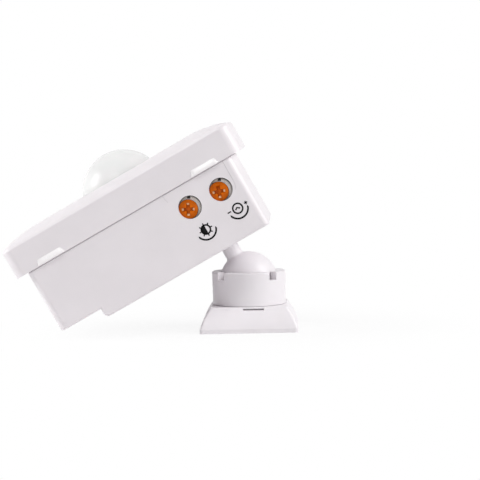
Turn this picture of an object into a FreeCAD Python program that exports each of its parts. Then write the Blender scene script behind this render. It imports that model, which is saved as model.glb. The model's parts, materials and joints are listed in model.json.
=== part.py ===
import FreeCAD, Part
import Sketcher
import math
import os
import re

# Passive infrared motion sensor switch on a wall or ceiling ball joint, in millimetres and degrees.
#
# The base frame has its origin at the centre of the base's bottom face, with Z up through the ball.
# The head frame has its origin at the ball's centre, Z along the stem towards the lens and X along
# the head's long side. The head frame is tilted about Y, so that the head's +X end rises.

SIZES = {
    # ball joint
    "head_tilt": 28.8,
    "ball_height": 14.5,
    "ball_diameter": 17.2,
    "ball_play": 0.2,
    "stem_diameter": 5.2,
    "stem_blend": 0.7,
    "lug_diameter": 9.2,
    "lug_thickness": 2.2,
    "lug_play": 0.15,
    # base plate and its pedestal
    "plate_side": 23.8,
    "plate_thickness": 2.0,
    "plate_corner": 1.5,
    "pedestal_diameter": 19.6,
    "pedestal_height": 13.4,
    "pedestal_floor": 3.6,
    "rib_reach": 0.6,
    "rib_thickness": 1.2,
    "wall_screw_pitch": 18.4,
    "wall_screw_hole": 3.2,
    "wall_screw_head": 5.2,
    # ball seat
    "seat_diameter": 15.2,
    "seat_bore": 7.0,
    "seat_height": 5.2,
    "fit_play": 0.05,
    # flared skirt
    "skirt_side": 29.0,
    "skirt_top": 22.6,
    "skirt_height": 7.4,
    "skirt_lip": 1.2,
    "skirt_bulge": 0.3,
    "skirt_wall": 1.3,
    "skirt_corner": 0.9,
    "skirt_hole_play": 0.15,
    "release_slot_length": 6.2,
    "release_slot_height": 0.5,
    "release_slot_depth": 1.2,
    "release_slot_drop": 0.68,
    "release_slot_x": 1.4,
    # clamp collar
    "collar_top_wall": 1.25,
    "collar_foot_wall": 1.1,
    "collar_height": 9.8,
    "collar_gap": 0.1,
    "collar_lip": 3.4,
    "notch_width": 2.7,
    "notch_depth": 2.3,
    "notch_turn": 41.7,
    "notch_count": 4,
    "rim_round": 0.4,
    # rear housing
    "rear_gap": 12.6,
    "head_offset": 19.0,
    "housing_length": 67.7,
    "housing_width": 49.0,
    "housing_depth": 22.5,
    "housing_corner": 1.8,
    "housing_edge": 0.6,
    "wall": 1.8,
    "step_length": 13.2,
    "step_rise": 3.0,
    "step_round": 1.5,
    "tongue_height": 3.0,
    "tongue_wall": 1.5,
    "tongue_play": 0.15,
    "parting_groove": 0.35,
    "latch_inset": 8.35,
    "latch_width": 8.8,
    "latch_height": 1.8,
    "latch_proud": 0.55,
    "latch_slope": 18.0,
    "latch_round": 0.9,
    "socket_wall": 1.6,
    "socket_slide": 12.5,
    "pillar_diameter": 5.0,
    "pilot_diameter": 2.3,
    "pilot_depth": 9.0,
    # cable inlet
    "inlet_inset": 7.25,
    "inlet_diameter": 8.4,
    "grommet_flange": 10.0,
    "grommet_flange_height": 1.2,
    "grommet_recess": 5.2,
    "grommet_skin": 0.8,
    # front cover
    "end_overhang": 3.65,
    "side_overhang": 0.5,
    "cover_corner": 3.2,
    "cover_side": 8.2,
    "crown_rise": 2.9,
    "crown_land": 2.9,
    "crease_round": 0.5,
    "window_play": 0.06,
    "peg_gap": 0.3,
    "peg_diameter": 1.6,
    "peg_length": 3.2,
    # dome lens and its retainer
    "dome_radius": 12.6,
    "dome_sink": 4.5,
    "dome_wall": 0.8,
    "dome_play": 0.15,
    "flange_reach": 1.0,
    "flange_thickness": 1.0,
    "retainer_rim": 0.6,
    "retainer_lap": 1.1,
    "retainer_room": 1.0,
    "retainer_thickness": 1.6,
    # circuit board
    "board_end_gap": 1.05,
    "board_side_gap": 0.55,
    "board_thickness": 1.6,
    "board_lift": 0.4,
    "board_corner": 1.5,
    "screw_end_inset": 3.0,
    "screw_side_inset": 3.5,
    "trimmer_pillar_gap": 1.8,
    "screw_diameter": 2.2,
    "screw_length": 8.0,
    "screw_head": 4.4,
    "screw_head_height": 1.5,
    # sensing elements on the front of the board
    "can_flange": 9.2,
    "can_flange_height": 0.5,
    "can_diameter": 8.2,
    "can_height": 4.2,
    "can_round": 0.6,
    "pane_length": 4.0,
    "pane_width": 3.0,
    "pane_depth": 0.5,
    "cell_diameter": 5.0,
    "cell_height": 2.2,
    "cell_offset": 8.0,
    # trimmers
    "trimmer_pitch": 10.2,
    "trimmer_inset": 17.5,
    "trimmer_drop": 7.0,
    "trimmer_hole": 6.8,
    "trimmer_width": 9.4,
    "trimmer_depth": 4.5,
    "trimmer_height": 11.2,
    "trimmer_gap": 0.3,
    "nose_diameter": 7.8,
    "index_width": 0.9,
    "index_reach": 3.2,
    "index_angle": 58.0,
    "rotor_diameter": 5.6,
    "rotor_recess": 1.95,
    "rotor_lap": 1.0,
    "spindle_diameter": 3.0,
    "spindle_length": 2.4,
    "cross_length": 3.7,
    "cross_floor_length": 2.5,
    "cross_width": 1.0,
    "cross_floor_width": 0.7,
    "cross_depth": 0.8,
    "light_cross_turn": 27.0,
    "time_cross_turn": 19.0,
    "rotor_shift_x": 0.85,
    "rotor_shift_z": 0.3,
    # other electronics on the rear of the board
    "relay_length": 19.0,
    "relay_width": 15.5,
    "relay_height": 15.2,
    "relay_gap": 1.0,
    "relay_side_inset": 3.25,
    "film_length": 17.0,
    "film_width": 8.0,
    "film_height": 14.0,
    "film_gap": 0.5,
    "film_side_inset": 6.5,
    "smoothing_diameter": 8.0,
    "smoothing_height": 11.5,
    "smoothing_gap": 2.1,
    "smoothing_side_inset": 6.5,
    "chip_length": 8.7,
    "chip_width": 6.0,
    "chip_height": 1.7,
    "chip_x": 12.0,
    "chip_y": 3.0,
    "diode_diameter": 2.7,
    "diode_length": 5.2,
    "diode_pitch": 3.4,
    "diode_count": 4,
    "diode_end_inset": 7.0,
    "diode_side_inset": 2.4,
    "terminal_end_inset": 2.0,
    "terminal_length": 15.0,
    "terminal_width": 8.0,
    "terminal_height": 10.0,
    "terminal_pitch": 5.0,
    "terminal_screw": 3.4,
    "terminal_screw_depth": 2.0,
    "edge_soft": 0.5,
}

# Places worked out from the sizes. Those named _z or _x are in the head frame.
PLACES = {
    "ball_radius": "ball_diameter / 2",
    "floor_z": "rear_gap + wall",
    "step_z": "rear_gap + step_rise",
    "step_floor_z": "step_z + wall",
    "parting_z": "rear_gap + housing_depth",
    "cover_height": "cover_side + crown_rise",
    "front_z": "parting_z + cover_height",
    "ceiling_z": "front_z - wall",
    "dome_z": "front_z - dome_sink",
    "collar_top_diameter": "pedestal_diameter + 2 * collar_top_wall",
    "collar_foot_diameter": "pedestal_diameter + 2 * collar_foot_wall",
    "cover_length": "housing_length + 2 * end_overhang",
    "cover_width": "housing_width + 2 * side_overhang",
    "housing_left_x": "-head_offset - housing_length / 2",
    "latch_reach": "housing_length / 2 - latch_inset",
    "step_x": "housing_left_x + step_length",
    "board_z": "parting_z + board_lift",
    "board_front_z": "board_z + board_thickness",
    "board_length": "housing_length - 2 * wall - 2 * board_end_gap",
    "board_width": "tongue_width - 2 * tongue_wall - 2 * board_side_gap",
    "board_left_x": "-head_offset - board_length / 2",
    "board_side_y": "board_width / 2",
    "screw_reach_x": "board_length / 2 - screw_end_inset",
    "screw_reach_y": "board_side_y - screw_side_inset",
    "trimmer_z": "parting_z - trimmer_drop",
    "trimmer_x": "-head_offset + housing_length / 2 - trimmer_inset",
    "trimmer_left_x": "trimmer_x - rotor_shift_x - trimmer_width / 2",
    "odd_screw_x": "trimmer_left_x - trimmer_pillar_gap - pillar_diameter / 2",
    "tongue_length": "cover_length - 2 * wall - 2 * tongue_play",
    "tongue_width": "cover_width - 2 * wall - 2 * tongue_play",
    "lug_pocket": "lug_diameter + 4 * lug_play",
    "lug_room": "lug_thickness + 2 * lug_play",
    "collar_foot_z": "skirt_height + collar_gap",
    "collar_top_z": "collar_foot_z + collar_height",
    "socket_radius": "ball_radius + ball_play",
    "skirt_ceiling": "skirt_height - skirt_wall",
    "seat_top_z": "pedestal_floor + seat_height",
    "collar_lip_z": "collar_top_z - collar_lip",
    "skirt_chord": "sqrt(((skirt_side - skirt_top) / 2) ^ 2 + (skirt_height - skirt_lip) ^ 2)",
    "skirt_bend": "skirt_chord ^ 2 / (8 * skirt_bulge) + skirt_bulge / 2",
    "dome_seat": "ceiling_z - dome_z",
    "dome_seat_radius": "sqrt(dome_radius ^ 2 - dome_seat ^ 2)",
    "dome_foot": "dome_seat - flange_thickness",
    "flange_diameter": "2 * (dome_seat_radius + flange_reach)",
    "peg_circle": "flange_diameter + peg_diameter + 2 * peg_gap",
    "retainer_outer": "peg_circle + peg_diameter + 2 * retainer_rim",
    "retainer_inner": "flange_diameter - 2 * retainer_lap",
    "crown_reach": "cover_width / 2 - dome_radius - crown_land",
    "ceiling_inset": "(cover_width - retainer_outer) / 2 - retainer_room",
    "dome_inner": "dome_radius - dome_wall",
    "inlet_x": "housing_left_x + inlet_inset",
    "terminal_x": "board_left_x + terminal_end_inset + terminal_width / 2",
    "relay_x": "terminal_x + terminal_width / 2 + relay_gap + relay_length / 2",
    "film_x": "relay_x + relay_length / 2 + film_gap + film_length / 2",
    "diode_x": "board_left_x + diode_end_inset + diode_diameter / 2",
    "diodes_end_x": "diode_x + (diode_count - 1) * diode_pitch + diode_diameter / 2",
    "smoothing_x": "diodes_end_x + smoothing_gap + smoothing_diameter / 2",
    "nose_y": "housing_width / 2 - wall - trimmer_gap",
    "rotor_face_y": "housing_width / 2 - rotor_recess",
    "trimmer_back_y": "tongue_width / 2 - tongue_wall - trimmer_gap",
}

# Shares of the crown's reach at which its loft has a section, from the side wall inwards. Between
# them the crown rises as an ellipse's quarter does, steeply first, and CROWN_FULLNESS is its bulge.
CROWN_REACHES = (0.0, 0.03, 0.1, 0.22, 0.42, 0.68, 1.0)
CROWN_FULLNESS = 0.45
# Board screws as (x, y): two over the shallow floor, then two over the deep one.
SCREW_SPOTS = (
    ("-head_offset - screw_reach_x", "screw_reach_y"),
    ("-head_offset - screw_reach_x", "-screw_reach_y"),
    ("-head_offset + screw_reach_x", "screw_reach_y"),
    ("odd_screw_x", "-screw_reach_y"),
)
# Trimmer axes along X: light level, then time.
TRIMMER_SPOTS = ("trimmer_x", "trimmer_x + trimmer_pitch")
# Pegs around the lens as (x, y).
PEG_SPOTS = tuple((f"-head_offset + {across} * peg_circle / 2", f"{along} * peg_circle / 2")
                  for across, along in ((1, 0), (0, 1), (-1, 0), (0, -1)))

WORD = re.compile(r"[a-z][a-z_]*")

doc = FreeCAD.newDocument("MotionSensorSwitch")
sheet = doc.addObject("Spreadsheet::Sheet", "Sizes")
for row, (alias, value) in enumerate(SIZES.items(), start=1):
    sheet.set(f"A{row}", alias)
    sheet.set(f"B{row}", str(value))
    sheet.setAlias(f"B{row}", alias)
doc.recompute()

nodes = []


def spelled_out(formula, prefix="Sizes."):
    """The formula with every place replaced by its sizes, and every size by its cell."""
    def word(match):
        name = match.group(0)
        if name in PLACES:
            return "(" + spelled_out(PLACES[name], prefix) + ")"
        if name in SIZES:
            return prefix + name
        return name
    return WORD.sub(word, str(formula))


def value_of(formula):
    """The formula's present value, for first guesses in sketches and for finding edges."""
    return float(sheet.evalExpression(spelled_out(formula, "")))


def bind(thing, sizes):
    """Ties properties of an object to formulas of the named sizes."""
    for name, formula in sizes.items():
        thing.setExpression(name, spelled_out(formula))


def place(thing, x="0", y="0", z="0"):
    """Puts a primitive at a place given by formulas, in the frame of what it belongs to."""
    bind(thing, {".Placement.Base.x": x, ".Placement.Base.y": y, ".Placement.Base.z": z})


def set_in_head(thing):
    """Puts a finished sub-part into the tilted head frame."""
    thing.setExpression("Placement", spelled_out(
        "placement(vector(0; 0; ball_height); rotation(vector(0; 1; 0); -head_tilt))"))


def finish(thing, label, in_head):
    """Names a finished sub-part, sets its frame and keeps it for writing."""
    thing.Label = label
    if in_head:
        set_in_head(thing)
    nodes.append(thing)
    return thing


def primitive(kind, name, sizes, x="0", y="0", z="0", lying=False):
    """A Part primitive with its sizes bound; a lying one has its axis along Y."""
    thing = doc.addObject("Part::" + kind, name)
    if lying:
        thing.Placement.Rotation = FreeCAD.Rotation(FreeCAD.Vector(1, 0, 0), -90)
    bind(thing, sizes)
    place(thing, x, y, z)
    return thing


def cylinder(name, diameter, height, x="0", y="0", z="0", lying=False):
    return primitive("Cylinder", name, {"Radius": f"({diameter}) / 2", "Height": height}, x, y, z, lying)


def block(name, length, width, height, x="0", y="0", z="0"):
    """A box centred on x and y that stands on z."""
    return primitive("Box", name, {"Length": length, "Width": width, "Height": height},
                     f"{x} - ({length}) / 2", f"{y} - ({width}) / 2", z)


def fuse(name, *shapes):
    thing = doc.addObject("Part::MultiFuse", name)
    thing.Shapes = list(shapes)
    thing.Refine = True
    return thing


def fuse_one(name, shape):
    """A group of one primitive, which gives it a frame of its own."""
    thing = doc.addObject("Part::Compound", name)
    thing.Links = [shape]
    return thing


def cut(name, base, *tools):
    thing = doc.addObject("Part::Cut", name)
    thing.Base = base
    thing.Tool = tools[0] if len(tools) == 1 else fuse(name + "_tools", *tools)
    return thing


def edges_where(shape, test):
    """Numbers of the shape's edges whose middle point and direction pass the test."""
    found = []
    for number, edge in enumerate(shape.Edges, start=1):
        middle = edge.valueAt((edge.FirstParameter + edge.LastParameter) / 2)
        if test(edge, middle):
            found.append(number)
    return found


def rounded(name, base, radius, test):
    """A Part::Fillet of one radius on the chosen edges of a primitive or boolean."""
    doc.recompute()
    thing = doc.addObject("Part::Fillet", name)
    thing.Base = base
    size = value_of(radius)
    thing.Edges = [(number, size, size) for number in edges_where(base.Shape, test)]
    return thing


def new_body(name):
    return doc.addObject("PartDesign::Body", name)


def new_sketch(body, name, plane="XY", x="0", y="0", z="0"):
    """A sketch on one of the body's origin planes, moved by formulas in the plane's own axes."""
    sketch = body.newObject("Sketcher::SketchObject", name)
    role = plane + "_Plane"
    support = [feature for feature in body.Origin.OriginFeatures if feature.Role == role][0]
    sketch.AttachmentSupport = [(support, "")]
    sketch.MapMode = "FlatFace"
    bind(sketch, {".AttachmentOffset.Base.x": x, ".AttachmentOffset.Base.y": y,
                  ".AttachmentOffset.Base.z": z})
    return sketch


def constrain(sketch, kind, *where, formula):
    """A dimension whose value follows a formula."""
    index = sketch.addConstraint(Sketcher.Constraint(kind, *where, value_of(formula)))
    sketch.setExpression(f"Constraints[{index}]", spelled_out(formula))


def draw_circle(sketch, diameter, x="0", y="0"):
    centre = FreeCAD.Vector(value_of(x), value_of(y), 0)
    circle = sketch.addGeometry(
        Part.Circle(centre, FreeCAD.Vector(0, 0, 1), value_of(diameter) / 2), False)
    constrain(sketch, "DistanceX", -1, 1, circle, 3, formula=x)
    constrain(sketch, "DistanceY", -1, 1, circle, 3, formula=y)
    constrain(sketch, "Diameter", circle, formula=diameter)


def draw_outline(sketch, points, arcs=None):
    """A closed outline through points given by formulas, straight unless arcs says otherwise.

    arcs gives, for the stretch that starts at a point's number, the arc's radius and which way it
    runs: 1 counterclockwise, -1 clockwise."""
    arcs = arcs or {}
    spots = [FreeCAD.Vector(value_of(x), value_of(y), 0) for x, y in points]
    up = FreeCAD.Vector(0, 0, 1)
    stretches = []
    for number, (start, end) in enumerate(zip(spots, spots[1:] + spots[:1])):
        if number not in arcs:
            line = sketch.addGeometry(Part.LineSegment(start, end), False)
            stretches.append((line, 1, 2))
            continue
        radius, way = value_of(arcs[number][0]), arcs[number][1]
        chord = end - start
        rise = math.sqrt(max(radius ** 2 - (chord.Length / 2) ** 2, 0))
        centre = (start + end) / 2 + up.cross(chord).normalize() * (rise * way)
        angles = [math.atan2(spot.y - centre.y, spot.x - centre.x) for spot in (start, end)]
        first, last = angles if way > 0 else reversed(angles)
        arc = sketch.addGeometry(Part.ArcOfCircle(Part.Circle(centre, up, radius), first, last), False)
        stretches.append((arc, 1, 2) if way > 0 else (arc, 2, 1))
    for (shape, _, end), (following, start, _) in zip(stretches, stretches[1:] + stretches[:1]):
        sketch.addConstraint(Sketcher.Constraint("Coincident", shape, end, following, start))
    for (shape, start, _), (x, y) in zip(stretches, points):
        constrain(sketch, "DistanceX", -1, 1, shape, start, formula=x)
        constrain(sketch, "DistanceY", -1, 1, shape, start, formula=y)
    for number, (radius, _) in arcs.items():
        constrain(sketch, "Radius", stretches[number][0], formula=radius)


def draw_rectangle(sketch, length, width, radius, x="0", y="0"):
    """A rectangle with round corners, centred on a place given by formulas."""
    across, along, corner = value_of(length) / 2, value_of(width) / 2, value_of(radius)
    centre = FreeCAD.Vector(value_of(x), value_of(y), 0)
    up = FreeCAD.Vector(0, 0, 1)
    sides, corners = [], []
    for turn in range(4):
        reach, half = (across, along) if turn % 2 == 0 else (along, across)
        frame = FreeCAD.Rotation(up, 90 * turn)
        start = centre + frame.multVec(FreeCAD.Vector(reach, -half + corner, 0))
        end = centre + frame.multVec(FreeCAD.Vector(reach, half - corner, 0))
        middle = centre + frame.multVec(FreeCAD.Vector(reach - corner, half - corner, 0))
        sides.append(sketch.addGeometry(Part.LineSegment(start, end), False))
        arc = Part.ArcOfCircle(Part.Circle(middle, up, corner), math.radians(90 * turn),
                               math.radians(90 * turn + 90))
        corners.append(sketch.addGeometry(arc, False))
    for turn in range(4):
        sketch.addConstraint(Sketcher.Constraint("Tangent", sides[turn], 2, corners[turn], 1))
        sketch.addConstraint(Sketcher.Constraint("Tangent", corners[turn], 2, sides[(turn + 1) % 4], 1))
        sketch.addConstraint(Sketcher.Constraint("Vertical" if turn % 2 == 0 else "Horizontal", sides[turn]))
    for arc in corners[1:]:
        sketch.addConstraint(Sketcher.Constraint("Equal", corners[0], arc))
    constrain(sketch, "Radius", corners[0], formula=radius)
    constrain(sketch, "DistanceX", -1, 1, sides[0], 1, formula=f"{x} + ({length}) / 2")
    constrain(sketch, "DistanceX", -1, 1, sides[2], 1, formula=f"{x} - ({length}) / 2")
    constrain(sketch, "DistanceY", -1, 1, sides[1], 1, formula=f"{y} + ({width}) / 2")
    constrain(sketch, "DistanceY", -1, 1, sides[3], 1, formula=f"{y} - ({width}) / 2")


def draw_slot(sketch, start_x, end_x, width, y="0"):
    """A slot along X with half-round ends centred on start_x and end_x."""
    low, high, middle = value_of(start_x), value_of(end_x), value_of(y)
    half = value_of(width) / 2
    up = FreeCAD.Vector(0, 0, 1)
    right = sketch.addGeometry(Part.ArcOfCircle(
        Part.Circle(FreeCAD.Vector(high, middle, 0), up, half), -math.pi / 2, math.pi / 2), False)
    left = sketch.addGeometry(Part.ArcOfCircle(
        Part.Circle(FreeCAD.Vector(low, middle, 0), up, half), math.pi / 2, 3 * math.pi / 2), False)
    top = sketch.addGeometry(Part.LineSegment(
        FreeCAD.Vector(high, middle + half, 0), FreeCAD.Vector(low, middle + half, 0)), False)
    foot = sketch.addGeometry(Part.LineSegment(
        FreeCAD.Vector(low, middle - half, 0), FreeCAD.Vector(high, middle - half, 0)), False)
    for first, first_end, second, second_end in (
            (right, 2, top, 1), (top, 2, left, 1), (left, 2, foot, 1), (foot, 2, right, 1)):
        sketch.addConstraint(Sketcher.Constraint("Tangent", first, first_end, second, second_end))
    constrain(sketch, "Radius", right, formula=f"({width}) / 2")
    for arc, x in ((right, end_x), (left, start_x)):
        constrain(sketch, "DistanceX", -1, 1, arc, 3, formula=x)
    constrain(sketch, "DistanceY", -1, 1, right, 3, formula=y)


def pad(body, sketch, length, name, downwards=False, both_ways=False, taper=None):
    feature = body.newObject("PartDesign::Pad", name)
    feature.Profile = sketch
    bind(feature, {"Length": length})
    if taper is not None:
        bind(feature, {"TaperAngle": taper})
    feature.Reversed = downwards
    feature.Midplane = both_ways
    doc.recompute()
    return feature


def pocket(body, sketch, length, name, upwards=True, both_ways=False, taper=None):
    """Cuts a sketch out of the body; it has to take some material away."""
    before = body.Shape.Volume
    feature = body.newObject("PartDesign::Pocket", name)
    feature.Profile = sketch
    bind(feature, {"Length": length})
    if taper is not None:
        bind(feature, {"TaperAngle": taper})
    feature.Reversed = upwards
    feature.Midplane = both_ways
    doc.recompute()
    if body.Shape.Volume > before - 1e-6:
        raise RuntimeError(f"{name} cuts nothing")
    return feature


def turn(body, sketch, name, cuts=False):
    """A full turn of a profile about the sketch's own vertical axis."""
    before = body.Shape.Volume if cuts else 0
    feature = body.newObject("PartDesign::Groove" if cuts else "PartDesign::Revolution", name)
    feature.Profile = sketch
    feature.ReferenceAxis = (sketch, ["V_Axis"])
    feature.Angle = 360
    doc.recompute()
    if cuts and body.Shape.Volume > before - 1e-6:
        raise RuntimeError(f"{name} cuts nothing")
    return feature


def treat_edges(body, kind, size, name, test):
    """A PartDesign edge feature on the edges of the body's tip that pass the test."""
    doc.recompute()
    tip = body.Tip
    chosen = edges_where(tip.Shape, test)
    if not chosen:
        raise RuntimeError(f"{name} finds no edge")
    feature = body.newObject("PartDesign::" + kind, name)
    feature.Base = (tip, [f"Edge{number}" for number in chosen])
    bind(feature, size)
    doc.recompute()
    return feature


def round_edges(body, radius, name, test):
    return treat_edges(body, "Fillet", {"Radius": radius}, name, test)


def bevel_edges(body, size, name, test):
    return treat_edges(body, "Chamfer", {"Size": size}, name, test)


def near(first, second, slack=0.02):
    return abs(first - second) < slack


# Base plate: a square plate with a threaded pedestal that holds the ball seat.
def make_base_plate():
    body = new_body("BasePlate")
    outline = new_sketch(body, "PlateOutline")
    draw_rectangle(outline, "plate_side", "plate_side", "plate_corner")
    pad(body, outline, "plate_thickness", "Plate")
    foot = new_sketch(body, "PedestalOutline")
    draw_circle(foot, "pedestal_diameter")
    pad(body, foot, "pedestal_height", "Pedestal")
    rib = new_sketch(body, "RibOutline")
    draw_rectangle(rib, "pedestal_diameter + 2 * rib_reach", "rib_thickness", "rib_thickness / 4")
    rib_pad = pad(body, rib, "skirt_ceiling", "Rib")
    ribs = body.newObject("PartDesign::PolarPattern", "Ribs")
    ribs.Originals = [rib_pad]
    ribs.Axis = (rib, ["N_Axis"])
    ribs.Angle = 180
    ribs.Occurrences = 2
    body.Tip = ribs
    doc.recompute()
    seat_place = new_sketch(body, "SeatPlace", z="pedestal_floor")
    draw_circle(seat_place, "seat_diameter + 2 * fit_play")
    pocket(body, seat_place, "pedestal_height", "SeatPocket")
    ball_room = new_sketch(body, "BallRoom", z="seat_top_z")
    draw_circle(ball_room, "2 * socket_radius + ball_play")
    pocket(body, ball_room, "pedestal_height", "BallPocket")
    holes = new_sketch(body, "WallScrewPlaces", z="plate_thickness")
    for x in ("wall_screw_pitch / 2", "-wall_screw_pitch / 2"):
        for y in ("wall_screw_pitch / 2", "-wall_screw_pitch / 2"):
            draw_circle(holes, "wall_screw_hole", x, y)
    doc.recompute()
    screws = body.newObject("PartDesign::Hole", "WallScrewHoles")
    screws.Profile = holes
    screws.DepthType = "ThroughAll"
    bind(screws, {"Diameter": "wall_screw_hole"})
    screws.HoleCutType = "Countersink"
    bind(screws, {"HoleCutDiameter": "wall_screw_head"})
    screws.HoleCutCountersinkAngle = 90
    doc.recompute()
    return finish(body, "base_plate", in_head=False)


# Flared skirt: a square cover with convex walls that hides the base plate.
def make_base_skirt():
    half, top = "skirt_side / 2", "skirt_top / 2"
    body = new_body("BaseSkirt")
    front = new_sketch(body, "FrontOutline", "XZ")
    draw_outline(front, [("-skirt_side / 2", "0"), (half, "0"), (half, "skirt_lip"),
                         (top, "skirt_height"), ("-skirt_top / 2", "skirt_height"),
                         ("-skirt_side / 2", "skirt_lip")],
                 {2: ("skirt_bend", 1), 4: ("skirt_bend", 1)})
    pad(body, front, "skirt_side", "SkirtBlock", both_ways=True)
    sides = new_sketch(body, "SideWaste", "YZ")
    beyond, above = "skirt_side / 2 + skirt_wall", "skirt_height + skirt_wall"
    draw_outline(sides, [(half, "skirt_lip"), (top, "skirt_height"), (top, above), (beyond, above),
                         (beyond, "skirt_lip")], {0: ("skirt_bend", 1)})
    draw_outline(sides, [("-skirt_top / 2", "skirt_height"), ("-skirt_side / 2", "skirt_lip"),
                         ("-skirt_side / 2 - skirt_wall", "skirt_lip"),
                         ("-skirt_side / 2 - skirt_wall", above), ("-skirt_top / 2", above)],
                 {0: ("skirt_bend", 1)})
    pocket(body, sides, "2 * skirt_side", "SideFlare", both_ways=True)
    high = value_of("skirt_height")
    round_edges(body, "skirt_corner", "SkirtCorners", lambda edge, middle: (
        near(abs(middle.x), abs(middle.y), 0.2) and 0 < middle.z < high))
    inside = new_sketch(body, "SkirtInside")
    draw_rectangle(inside, "skirt_side - 2 * skirt_wall", "skirt_side - 2 * skirt_wall", "skirt_corner")
    pocket(body, inside, "skirt_ceiling", "SkirtHollow",
           taper="-atan((skirt_side - skirt_top) / 2 / skirt_height)")
    hole = new_sketch(body, "PedestalHole")
    draw_circle(hole, "pedestal_diameter + 2 * skirt_hole_play")
    pocket(body, hole, "2 * skirt_height", "PedestalOpening")
    slot = new_sketch(body, "ReleaseSlotOutline", "XZ", z="skirt_top / 2 + skirt_bulge - release_slot_depth")
    draw_rectangle(slot, "release_slot_length", "release_slot_height", "release_slot_height / 4",
                   "release_slot_x", "skirt_height - release_slot_drop")
    pocket(body, slot, "skirt_side", "ReleaseSlot")
    return finish(body, "base_skirt", in_head=False)


# Ball seat: a loose ring with a hollow round top that the ball turns on.
def make_ball_seat():
    ring = cylinder("SeatRing", "seat_diameter", "seat_height", z="pedestal_floor")
    bore = cylinder("SeatBore", "seat_bore", "seat_height", z="pedestal_floor")
    ball = primitive("Sphere", "SeatBall", {"Radius": "socket_radius"}, z="ball_height")
    return finish(cut("BallSeat", ring, bore, ball), "ball_seat", in_head=False)


# Clamp collar: a threaded ring whose hollow lip holds the ball down, with notches for a key.
def make_clamp_collar():
    def lip_radius(height):
        return f"sqrt(socket_radius ^ 2 - ({height} - ball_height) ^ 2)"

    body = new_body("ClampCollar")
    profile = new_sketch(body, "CollarProfile", "XZ")
    thread = "pedestal_diameter / 2 + fit_play"
    draw_outline(profile, [(thread, "collar_foot_z"), ("collar_foot_diameter / 2", "collar_foot_z"),
                           ("collar_top_diameter / 2", "collar_top_z"),
                           (lip_radius("collar_top_z"), "collar_top_z"),
                           (lip_radius("collar_lip_z"), "collar_lip_z"), (thread, "collar_lip_z")],
                 {3: ("socket_radius", -1)})
    turn(body, profile, "CollarRing")
    top, reach = value_of("collar_top_z"), value_of("collar_top_diameter / 2")
    round_edges(body, "rim_round", "CollarRim", lambda edge, middle: (
        near(middle.z, top) and near(math.hypot(middle.x, middle.y), reach)))
    notch = new_sketch(body, "NotchOutline", z="collar_top_z")
    notch.AttachmentOffset = FreeCAD.Placement(
        notch.AttachmentOffset.Base, FreeCAD.Rotation(FreeCAD.Vector(0, 0, 1), value_of("notch_turn")))
    bind(notch, {".AttachmentOffset.Rotation.Angle": "notch_turn"})
    draw_rectangle(notch, "collar_top_diameter / 2", "notch_width", "notch_width / 8",
                   "collar_top_diameter / 2")
    first = pocket(body, notch, "notch_depth", "Notch", upwards=False)
    notches = body.newObject("PartDesign::PolarPattern", "Notches")
    notches.Originals = [first]
    notches.Axis = (profile, ["V_Axis"])
    notches.Angle = 360
    bind(notches, {"Occurrences": "notch_count"})
    body.Tip = notches
    doc.recompute()
    return finish(body, "clamp_collar", in_head=False)


# Ball stem: ball, stem and round lug in one moulding; the lug sits in the head's keyhole socket.
def make_ball_stem():
    shaft = "stem_diameter / 2"
    neck_z = "sqrt(ball_radius ^ 2 - (stem_diameter / 2) ^ 2)"
    lug_z = "floor_z + lug_play"
    body = new_body("BallStem")
    profile = new_sketch(body, "StemProfile", "XZ")
    draw_outline(profile, [("0", "-ball_radius"), (shaft, neck_z), (shaft, lug_z),
                           ("lug_diameter / 2", lug_z), ("lug_diameter / 2", f"{lug_z} + lug_thickness"),
                           ("0", f"{lug_z} + lug_thickness")], {0: ("ball_radius", 1)})
    turn(body, profile, "BallAndStem")
    neck, radius = value_of(neck_z), value_of(shaft)
    round_edges(body, "stem_blend", "NeckBlend", lambda edge, middle: (
        near(middle.z, neck) and near(math.hypot(middle.x, middle.y), radius)))
    return finish(body, "ball_stem", in_head=True)


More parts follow.
